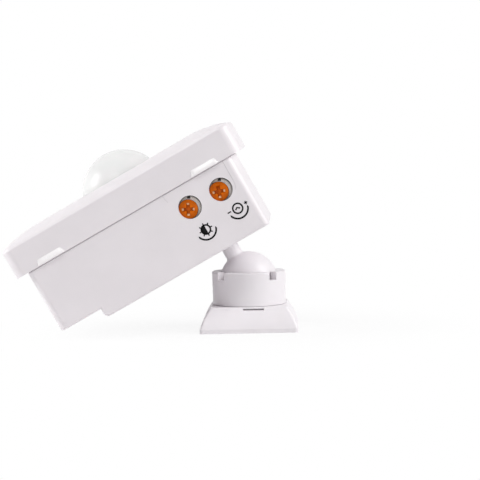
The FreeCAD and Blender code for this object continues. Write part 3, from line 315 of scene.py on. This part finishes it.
set_sockets(shader, {"IOR": 1.54, "Specular IOR Level": 0.16, "Subsurface Weight": 0.3,
                     "Subsurface Scale": 1.0 * MM, "Subsurface Radius": (1.0, 1.0, 1.0)})
print("Lenses round the dome:", LENS_SEGMENTS)

# %% [markdown]
# ## Orange nylon and grey polyester
#
# A trimmer's rotor is moulded nylon dyed deep orange, glossy from a polished tool. Its body is pale
# grey glass-filled polyester, duller and faintly speckled by the fibres. Both sit at the bottom of
# a hole, and shade falls along the hole's wall. The light alone leaves that rim too pale, so the
# painted shade from above darkens it: deep brown on the rotor, nearly black on the body.

# %% Trimmer plastics
HOLE_REACH_MM = 2.4

orange_nylon, tree, shader = two_tone("moulded orange nylon", "#F57C00", "#E06C00", tone_mm=1.2,
                                      gloss_mm=0.6, gloss=(0.2, 0.28))
# Painted shade: the rotor turns deep brown near the hole's wall.
paint_close_shade(tree, shader, HOLE_REACH_MM, open_share=(0.5, 0.95), most=0.38, shade_colour="#8C3A04")
set_sockets(shader, {"IOR": 1.53, "Specular IOR Level": 0.12, "Subsurface Weight": 0.15,
                     "Subsurface Scale": 0.8 * MM, "Subsurface Radius": (1.0, 0.35, 0.1)})

grey_polyester, tree, shader = two_tone("glass-filled grey polyester", "#F0ECE6", "#E4DFD8",
                                        tone_mm=0.5, gloss_mm=0.5, gloss=(0.47, 0.54), detail=4)
# Painted shadow: the body turns nearly black near the hole's wall.
paint_close_shade(tree, shader, HOLE_REACH_MM, open_share=(0.46, 0.62), most=0.96, shade_colour="#14100E")
set_sockets(shader, {"IOR": 1.57})

# %% [markdown]
# ## Pad printing ink
#
# The two signs are pad printed: a soft pad carries black ink onto the plastic, about a hundredth
# of a millimetre thick. The ink is matt and not quite black, and it wears thin in specks, which the
# shared recipe draws as its second shade.

# %% Ink
ink, tree, shader = two_tone("pad printed black ink", "#050406", "#0C0B0D", tone_mm=0.2,
                             gloss_mm=0.2, gloss=(0.6, 0.68), detail=4)
set_sockets(shader, {"Specular IOR Level": 0.16})

# %% [markdown]
# ## The materials inside
#
# The box is closed, so these hardly ever show, but a slanted look into the trimmer holes or the
# keyhole at the back can catch them. Each one is what such boards carry: solder mask, plated steel,
# a nickel-plated can, resin and shrink sleeve. One recipe with two colours and a grain size is
# enough for all of them.

# %% Inner materials
GRAIN_SMOOTHER, GRAIN_ROUGHER = 0.04, 0.06


def speckled(name, colour, shade, grain_mm, roughness, metallic=0.0, depth_mm=0.0):
    """A finish of one grain size, with a bump of a real depth where it has one."""
    material, tree, shader = two_tone(
        name, colour, shade, tone_mm=grain_mm, gloss_mm=grain_mm,
        gloss=(roughness - GRAIN_SMOOTHER, roughness + GRAIN_ROUGHER), detail=3)
    set_sockets(shader, {"Metallic": metallic})
    if depth_mm:
        fleck = add_node(tree, "TexNoise", {
            "Vector": tree.nodes["place"].outputs["Object"], "Scale": 1 / (grain_mm * MM),
            "Detail": 3.0})
        rough = add_node(tree, "Bump", {"Height": fleck.outputs["Fac"], "Distance": depth_mm * MM})
        tree.links.new(rough.outputs["Normal"], shader.inputs["Normal"])
    return material


# Two colours, the grain in millimetres and the roughness of each.
black_rubber = speckled("moulded black rubber", "#26262A", "#1D1D20", 0.5, 0.6, depth_mm=0.02)
solder_mask = speckled("green solder mask", "#1F5E38", "#1A5030", 2.0, 0.35)
zinc_steel = speckled("zinc plated steel", "#C9CCD2", "#B4B6BC", 0.4, 0.35, metallic=1.0)
nickel_can = speckled("drawn nickel plated can", "#D2CDC2", "#C0BBB0", 0.8, 0.25, metallic=1.0)
silicon_pane = speckled("coated silicon pane", "#3A2E3C", "#2E2532", 1.0, 0.15)
resin_cell = speckled("resin coated cell", "#B5713C", "#9C5A2C", 0.6, 0.25)
blue_polyester = speckled("moulded blue polyester", "#24508E", "#1E457C", 1.5, 0.4, depth_mm=0.01)
yellow_case = speckled("moulded yellow polyester", "#D8B93A", "#C9A92F", 1.5, 0.4, depth_mm=0.01)
black_sleeve = speckled("black shrink sleeve", "#1B1B1E", "#232327", 1.0, 0.45, depth_mm=0.01)
green_polyamide = speckled("moulded green polyamide", "#2E7D4A", "#276B40", 0.8, 0.45,
                           depth_mm=0.01)

# %% [markdown]
# ## Dressing the CAD nodes
#
# The part's record names a finish for each node, its slot. They could be dressed one by one, but a
# table from slots to materials does it in one loop and can't miss a node. The foot, the collar and
# the ball are of the same plastic as the box in the record, and then get its copy that is painted
# lighter.

# %% Dress the nodes
FOOT_NODES = ("base_plate", "base_skirt", "clamp_collar", "ball_stem")
SLOT_MATERIALS = {
    "housing_plastic": white_abs,
    "seat_plastic": acetal,
    "lens_plastic": polyethylene,
    "grommet_rubber": black_rubber,
    "trimmer_case": grey_polyester,
    "trimmer_orange": orange_nylon,
    "board_green": solder_mask,
    "screw_steel": zinc_steel,
    "can_metal": nickel_can,
    "filter_pane": silicon_pane,
    "cell_brown": resin_cell,
    "relay_case": blue_polyester,
    "film_case": yellow_case,
    "sleeve_black": black_sleeve,
    "terminal_green": green_polyamide,
}


def dress(piece, material):
    """Gives a piece one material all over."""
    piece.data.materials.clear()
    piece.data.materials.append(material)


for entry in frame["record"]["subparts"]:
    dress(nodes[entry["node"]], SLOT_MATERIALS[entry["material_slot"]])
# The foot's pieces get the copy of the white that is painted lighter.
for name in FOOT_NODES:
    dress(nodes[name], lit_foot_abs)

# %% [markdown]
# ## From a mesh to a piece
#
# The pieces below are built corner by corner. Nearly all of them are a row of rings with as many
# corners each, such as the two ends of a block, so one function lays the skin through such rings.
# They all end in the same way, too: the faces are turned outwards, the mesh becomes an object, and
# the object gets its material and the body that it rides on.

# %% Building and finishing a piece
def trimmer_side_corner(mesh, centre, spot, y):
    """A corner at a spot round a centre on the side with the trimmers, in the head's frame."""
    return mesh.verts.new(in_head(centre[0] + spot[0], y, centre[1] + spot[1]))


def skin(mesh, rings, closed=False):
    """Faces through rings of corners: capped at the first and last, or closed on itself."""
    for first, second in zip(rings, rings[1:] + rings[:1] if closed else rings[1:]):
        for i in range(len(first)):
            j = (i + 1) % len(first)
            mesh.faces.new((first[i], first[j], second[j], second[i]))
    if not closed:
        mesh.faces.new(rings[0])
        mesh.faces.new(rings[-1])


def finish_piece(mesh, name, material, body, round_quads=False):
    """Turns a mesh into a dressed piece; round_quads shades its four-sided faces smoothly."""
    bmesh.ops.recalc_face_normals(mesh, faces=mesh.faces)
    for face in mesh.faces:
        face.smooth = round_quads and len(face.verts) == 4
    data = bpy.data.meshes.new(name)
    mesh.to_mesh(data)
    mesh.free()
    piece = bpy.data.objects.new(name, data)
    bpy.context.scene.collection.objects.link(piece)
    dress(piece, material)
    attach(piece, body)
    print(name, "on", body, "with", len(data.polygons), "faces")


# %% [markdown]
# ## The printed signs
#
# Beside each hole a small sign says what its trimmer sets: a half-filled sun for the light level,
# and a clock for the time. Below each, an arc shows the way to turn. They could be painted in a
# shader, but real strokes of ink have a crisp edge at any distance, so they are cut as thin flat
# strips a few hundredths of a millimetre proud of the box. Each is drawn in millimetres around its
# own centre, in the head's frame.

# %% Strokes of ink
# The box's face as the CAD model has it, in the head's frame.
BOX_FACE = -24.5
INK_THICKNESS = 0.03
INK_LINE = 0.46
ARC_STEPS = 48


def directions(degrees):
    """The direction at an angle, and the one a quarter turn on."""
    along = Vector((math.cos(math.radians(degrees)), math.sin(math.radians(degrees))))
    return along, Vector((-along.y, along.x))


def arc_points(radius, start, end):
    """Points along an arc, with angles in degrees."""
    return [directions(start + (end - start) * i / ARC_STEPS)[0] * radius
            for i in range(ARC_STEPS + 1)]


def ring_points(radius):
    """Points round a whole circle, without a last one on top of the first."""
    return arc_points(radius, 0, 360)[:-1]


def stroke_sides(points, width, closed):
    """The two sides of a line of ink, as a pair of points beside each of its points."""
    pairs = []
    last = len(points) - 1
    for i, point in enumerate(points):
        before = points[i - 1] if i or closed else points[i]
        after = points[(i + 1) % len(points)] if i < last or closed else points[i]
        along = (Vector(after) - Vector(before)).normalized()
        side = Vector((-along.y, along.x)) * width / 2
        pairs.append((Vector(point) + side, Vector(point) - side))
    return pairs


# %% A sign as a mesh
def print_sign(name, centre, strokes, fills, material=ink):
    """A mesh of ink on the trimmer side: strokes as (points, width, closed), fills as outlines."""
    mesh = bmesh.new()
    front, rear = BOX_FACE - INK_THICKNESS, BOX_FACE
    for points, width, closed in strokes:
        rings = []
        for left, right in stroke_sides(points, width, closed):
            ring = ((left, front), (right, front), (right, rear), (left, rear))
            rings.append([trimmer_side_corner(mesh, centre, spot, y) for spot, y in ring])
        skin(mesh, rings, closed)
    for outline in fills:
        skin(mesh, [[trimmer_side_corner(mesh, centre, spot, y) for spot in outline]
                    for y in (front, rear)])
    finish_piece(mesh, name, material, "head")


# %% [markdown]
# The turning arc sweeps below the sign from lower left to lower right, with a small arrowhead at
# each end. It is shared by both signs. The sun is a ring with eight rays, one half of it filled.
# The clock is a plain ring with two hands, between a minus and a plus.

# %% Turning arc
ARC_RADIUS = 2.95
ARC_START, ARC_END = 206.0, 338.0
ARC_LINE = 0.5
ARROW_LENGTH, ARROW_WIDTH, ARROW_LEAN = 0.62, 0.66, 0.08


def arrowhead(angle, way):
    """A triangle at an end of the arc; way is 1 where the arc runs counterclockwise into it."""
    out, along = directions(angle)
    base = out * ARC_RADIUS
    tip = base + along * way * ARROW_LENGTH - out * ARROW_LEAN
    return [base + out * ARROW_WIDTH / 2, tip, base - out * ARROW_WIDTH / 2]


TURNING_ARC = (arc_points(ARC_RADIUS, ARC_START, ARC_END), ARC_LINE, False)
ARROWS = [arrowhead(ARC_START, -1), arrowhead(ARC_END, 1)]
print("Arc of", ARC_END - ARC_START, "degrees")

# %% Sun
SUN_CENTRE = (-1.9, 20.3)
SUN_RADIUS = 1.32
SUN_FILL_EDGE = 0.14
SUN_RAYS, RAY_LINE = 8, 0.34
RAY_START, RAY_END = 1.4, 2.02

fill_angle = math.degrees(math.acos(SUN_FILL_EDGE / SUN_RADIUS))
sun_strokes = [TURNING_ARC, (ring_points(SUN_RADIUS), INK_LINE, True)]
for number in range(SUN_RAYS):
    ray = directions(360 / SUN_RAYS * number)[0]
    sun_strokes.append(([ray * RAY_START, ray * RAY_END], RAY_LINE, False))
print_sign("light_sign", SUN_CENTRE, sun_strokes,
           [*ARROWS, arc_points(SUN_RADIUS, fill_angle, 360 - fill_angle)])

# %% Clock
CLOCK_CENTRE = (9.05, 21.0)
CLOCK_RADIUS = 1.43
HANDS, HAND_LINE = ((-0.76, -0.16), (-0.15, 0.3), (0.66, -0.24)), 0.42
PLUS_PLACE, PLUS_REACH = Vector((2.79, 0.3)), 0.5
MINUS_PLACE, MINUS_REACH = Vector((-2.66, 0.15)), 0.55
MARK_LINE = 0.36

level, upright = directions(0)
clock_strokes = [TURNING_ARC, (ring_points(CLOCK_RADIUS), INK_LINE, True),
                 (HANDS, HAND_LINE, False)]
for place, half_bar in ((PLUS_PLACE, level * PLUS_REACH), (PLUS_PLACE, upright * PLUS_REACH),
                        (MINUS_PLACE, level * MINUS_REACH)):
    clock_strokes.append(([place - half_bar, place + half_bar], MARK_LINE, False))
print_sign("time_sign", CLOCK_CENTRE, clock_strokes, ARROWS)

# %% [markdown]
# ## The mark of the mould's slider
#
# The holes in the side can't be moulded by the two main halves of the tool. A separate block, a
# slider, moves in from the side to form them, and where it met the rest it left a line as fine as a
# hair, a little raised. It could be a bump in the box's material, but it is too narrow for that. So
# we lay the same kind of stroke on the face, in white plastic painted grey for the shade along the
# raised line. It runs down beside each hole, thinner and thinner, and fades out.

# %% Witness line
LINE_TOP, LINE_FADING, LINE_FAINT = 0.2, 0.12, 0.1
# Painted shade: the line's grey stands for the shade along the raised hair line.
shaded_line_plastic = speckled("white ABS painted grey with shade", "#D6D1D4", "#CCC7CA", 0.4, 0.5)
WITNESS = [([(12.02, 35.0), (12.0, 33.6), (11.95, 31.7), (11.95, 28.6)], LINE_TOP, False),
           ([(11.95, 28.6), (11.88, 27.6), (11.62, 26.6), (11.2, 25.9)], LINE_FADING, False),
           ([(-7.85, 34.8), (-7.75, 33.7), (-7.45, 32.5)], LINE_FAINT, False)]
print_sign("slider_line", (0.0, 0.0), WITNESS, [], shaded_line_plastic)

# %% [markdown]
# ## The snap tabs' polished noses
#
# Four tabs of the box snap into windows of the cover. Their noses are polished, so that the cover
# slides over them, and they are crowned: they fall off to both ends and towards the top. Their
# white is painted lighter than the box's, a painted highlight for the light that the noses catch.
# The CAD solid has the plain wedge. A subdivided block could be pushed into shape, but a grid whose
# height follows two smooth curves gives the crown straight away: one curve is nearly flat and falls
# steeply at both ends, and the other falls evenly towards the top.

# %% Snap tabs
# The parting line, the cover's side and the tabs' middles as the CAD model has them.
PARTING_Z = 35.1
COVER_FACE = 25.0
TAB_CENTRES = (-44.5, 6.5)
TAB_HALF_FOOT, TAB_HALF_TOP = 4.5, 3.85
TAB_HEIGHT, TAB_PROUD = 1.95, 0.68
TAB_SUNK, TAB_LIFT, TAB_ROOT = 0.03, 0.04, 0.4
END_SQUARENESS, END_EASE, TOP_FALL = 5, 0.5, 1.6
TAB_STEPS_ACROSS, TAB_STEPS_UP = 24, 8
# Polished, with a lower roughness, and a white painted lighter than the box's: a painted highlight.
polished_lit_abs = moulded_abs("polished white ABS, painted lighter", "#F8F5F6", "#F4F1F2", 0.24, BOX_CORNER_SHADE)


def snap_tab(name, centre, side):
    """A crowned nose on the cover's side; side is -1 for the trimmer side and 1 for the other."""
    mesh = bmesh.new()

    def corner(u, v, proud):
        """A corner u across, from -1 to 1, and v up, from 0 to 1, proud of the cover's face."""
        half = TAB_HALF_FOOT + (TAB_HALF_TOP - TAB_HALF_FOOT) * v
        return mesh.verts.new(in_head(centre + u * half, side * (COVER_FACE + proud),
                                      PARTING_Z + TAB_LIFT + TAB_HEIGHT * v))

    rows = []
    for j in range(TAB_STEPS_UP + 1):
        v = j / TAB_STEPS_UP
        row = []
        for i in range(TAB_STEPS_ACROSS + 1):
            u = 2 * i / TAB_STEPS_ACROSS - 1
            crown = (1 - abs(u) ** END_SQUARENESS) ** END_EASE * (1 - v ** TOP_FALL)
            row.append(corner(u, v, TAB_PROUD * crown - TAB_SUNK))
        rows.append(row)
    for low, high in zip(rows, rows[1:]):
        for i in range(TAB_STEPS_ACROSS):
            mesh.faces.new((low[i], low[i + 1], high[i + 1], high[i]))
    foot, top = ([corner(u, v, -TAB_ROOT) for u in (-1, 1)] for v in (0, 1))
    mesh.faces.new([*rows[0], foot[1], foot[0]])
    mesh.faces.new([*rows[-1], top[1], top[0]])
    mesh.faces.new([row[0] for row in rows] + [top[0], foot[0]])
    mesh.faces.new([row[-1] for row in rows] + [top[1], foot[1]])
    mesh.faces.new((foot[0], foot[1], top[1], top[0]))
    finish_piece(mesh, name, polished_lit_abs, "head", round_quads=True)


for number, (centre, side) in enumerate((c, s) for c in TAB_CENTRES for s in (-1, 1)):
    snap_tab(f"snap_tab_{number + 1}", centre, side)

# %% [markdown]
# ## Painted shadow in the trimmers' slots
#
# A trimmer's nose has a slot at the top of its rim, and the slot lies in deep shade. A black block
# in it stands in for that shade as painted shadow, a hair proud. Only its face shows, so it is one
# small block with its front edges taken off, pressed into the slot that the solid already has.

# %% Painted shadow in the slots
NOSE_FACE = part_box("light_trimmer_body")[0][1] / MM
BLOCK_TURN = 58.0
BLOCK_INNER, BLOCK_OUTER, BLOCK_HALF = 3.05, 3.88, 0.44
BLOCK_DEPTH, BLOCK_PROUD, BLOCK_BEVEL = 0.9, 0.06, 0.08
ROTOR_CENTRES = {"light": (-3.5, 27.8), "time": (6.7, 27.8)}
# The black is painted shadow in the slot.
slot_shadow_black = speckled("black of painted slot shadow", "#0D0D0F", "#161619", 0.5, 0.5)


def slot_shadow_block(name, centre):
    """A block with its front edges taken off, in the slot of a trimmer's nose."""
    mesh = bmesh.new()
    along, aside = directions(BLOCK_TURN)
    middle, half = (BLOCK_INNER + BLOCK_OUTER) / 2, (BLOCK_OUTER - BLOCK_INNER) / 2
    rings = []
    for depth, inset in ((-BLOCK_PROUD, BLOCK_BEVEL), (BLOCK_BEVEL - BLOCK_PROUD, 0.0), (BLOCK_DEPTH, 0.0)):
        ring = [along * (middle + u * (half - inset)) + aside * v * (BLOCK_HALF - inset)
                for u, v in ((-1, -1), (1, -1), (1, 1), (-1, 1))]
        rings.append([trimmer_side_corner(mesh, centre, spot, NOSE_FACE + depth) for spot in ring])
    skin(mesh, rings)
    finish_piece(mesh, name, slot_shadow_black, "head")


for name, centre in ROTOR_CENTRES.items():
    slot_shadow_block(f"{name}_slot_shadow_block", centre)
print("Nose face at", round(NOSE_FACE, 2))

# %% [markdown]
# ## Painted glints on the ramps of the screwdriver cross
#
# Each arm of a rotor's cross ends in a small ramp that guides the screwdriver in. A pale orange on
# the ramp paints the glint that it catches, so it shows as a light speck: at all four arms of the
# light rotor, and three of the time rotor. They could be spots in the orange shader, but the specks
# should shade as the slopes that they are. So they are small wedges, which turn with their rotor.

# %% Cross ramps
# The rotors' face and the turn of their crosses as the CAD model has them.
ROTOR_FACE = -22.55
RAMP_START, RAMP_END, RAMP_HALF = 1.3, 1.84, 0.34
RAMP_DEEP, RAMP_SHALLOW, SLOT_FLOOR = 0.3, 0.02, 0.82
CROSS_TURN = {"light": -27.0, "time": -19.0}
GLINT_ARMS = {"light": (0, 1, 2, 3), "time": (0, 2, 3)}
# The pale orange is a painted glint.
glint_nylon = speckled("pale orange nylon of painted glints", "#F6CB9A", "#EDB880", 0.3, 0.25)


def cross_ramps(name, body, centre, turn, glint_arms):
    """Pale ramps that paint glints at the given arms, numbered counterclockwise."""
    mesh = bmesh.new()
    for arm in glint_arms:
        along, aside = directions(90 * arm + turn)
        rings = []
        for reach, depth in ((RAMP_START, RAMP_DEEP), (RAMP_END, RAMP_SHALLOW)):
            left, right = (along * reach + aside * side * RAMP_HALF for side in (-1, 1))
            ring = ((left, depth), (right, depth), (right, SLOT_FLOOR), (left, SLOT_FLOOR))
            rings.append([trimmer_side_corner(mesh, centre, spot, ROTOR_FACE + y)
                          for spot, y in ring])
        skin(mesh, rings)
    finish_piece(mesh, name, glint_nylon, body)


for name, centre in ROTOR_CENTRES.items():
    cross_ramps(f"{name}_cross_ramps", f"{name}_rotor", centre, CROSS_TURN[name], GLINT_ARMS[name])

# %% [markdown]
# ## Floor and light
#
# White plastic on white shows only by its shading, so the light decides the picture. A strong soft
# light high at the right brightens the faces that look that way. A small one at the left puts the
# white patch on the lens, a weak one in front opens the shadows, and a dim white room fills the
# rest. The picture's white ground could come from more light, but that would bleach the object. So
# the floor and the room only look white to the camera, to gloss and through clear things, while
# the floor near the object keeps a faint soft shadow.

# %% Room
GLOW, WHITE = 0.2, 1.0


def seen_directly(tree):
    """1 for a ray from the camera, off gloss or through something clear, and 0 for the rest."""
    path = add_node(tree, "LightPath").outputs
    seen = path["Is Camera Ray"]
    for ray in ("Is Glossy Ray", "Is Transmission Ray"):
        seen = add_node(tree, "Math", {0: seen, 1: path[ray]}, operation="MAXIMUM").outputs[0]
    return seen


world = bpy.data.worlds.new("white room")
bpy.context.scene.world = world
world.use_nodes = True
tree = world.node_tree
tree.nodes.clear()
glow = add_node(tree, "Background", {"Color": linear("#FFFFFF"), "Strength": GLOW})
white = add_node(tree, "Background", {"Color": linear("#FFFFFF"), "Strength": WHITE})
mixed = add_node(tree, "MixShader", {
    0: seen_directly(tree), 1: glow.outputs[0], 2: white.outputs[0]})
add_node(tree, "OutputWorld", {"Surface": mixed.outputs[0]})
print("The room gives", GLOW, "of white")

# %% Floor
FLOOR_REACH, FLOOR_SIDES = 1.6, 128
FLOOR_DROP = 0.03 * MM
CLEAR_START, CLEAR_END = 18 * MM, 80 * MM
CLEAR_LEAST = 0.9
bpy.ops.mesh.primitive_circle_add(vertices=FLOOR_SIDES, radius=FLOOR_REACH, fill_type="NGON",
                                  location=(0, 0, -FLOOR_DROP))
floor = bpy.context.object
floor.name = "floor"
matt_white, tree, shader = two_tone("plain pale floor", "#F4F3F4", "#F4F3F4", tone_mm=100,
                                    gloss_mm=100, gloss=(0.9, 0.9))
set_sockets(shader, {"Specular IOR Level": 0.1})
place = tree.nodes["place"].outputs["Object"]
away = add_node(tree, "VectorMath", {0: place}, operation="LENGTH").outputs["Value"]
clear = add_node(tree, "MapRange", {
    "Value": away, "From Min": CLEAR_START, "From Max": CLEAR_END, "To Min": CLEAR_LEAST},
    interpolation_type="SMOOTHSTEP").outputs["Result"]
share = add_node(tree, "Math", {0: seen_directly(tree), 1: clear}, operation="MULTIPLY")
lit = add_node(tree, "Emission", {"Color": linear("#FFFFFF"), "Strength": WHITE})
mixed = add_node(tree, "MixShader", {
    0: share.outputs[0], 1: shader.outputs[0], 2: lit.outputs[0]})
tree.links.new(mixed.outputs[0], tree.nodes["Material Output"].inputs["Surface"])
dress(floor, matt_white)


# %% Lamps
def soft_light(name, place, aim, side, watts):
    """A square soft light that looks at a point."""
    data = bpy.data.lights.new(name, "AREA")
    data.shape = "SQUARE"
    data.size, data.energy = side, watts
    lamp = bpy.data.objects.new(name, data)
    bpy.context.scene.collection.objects.link(lamp)
    lamp.location = place
    lamp.rotation_euler = (Vector(aim) - Vector(place)).to_track_quat("-Z", "Y").to_euler()
    print(name, "of", watts, "watts")


soft_light("right key", (0.62, -0.20, 0.50), (0, 0, 0.03), side=0.4, watts=4.7)
soft_light("left softbox", (-0.62, -0.01, 0.28), (-0.02, 0, 0.04), side=0.28, watts=2.5)
soft_light("front softbox", (-0.26, -0.46, 0.52), (0, 0, 0.03), side=0.26, watts=1.25)

# %% [markdown]
# ## Finish
#
# The picture's colours are shown through the Standard view transform.

# %% View transform
bpy.context.scene.view_settings.view_transform = "Standard"
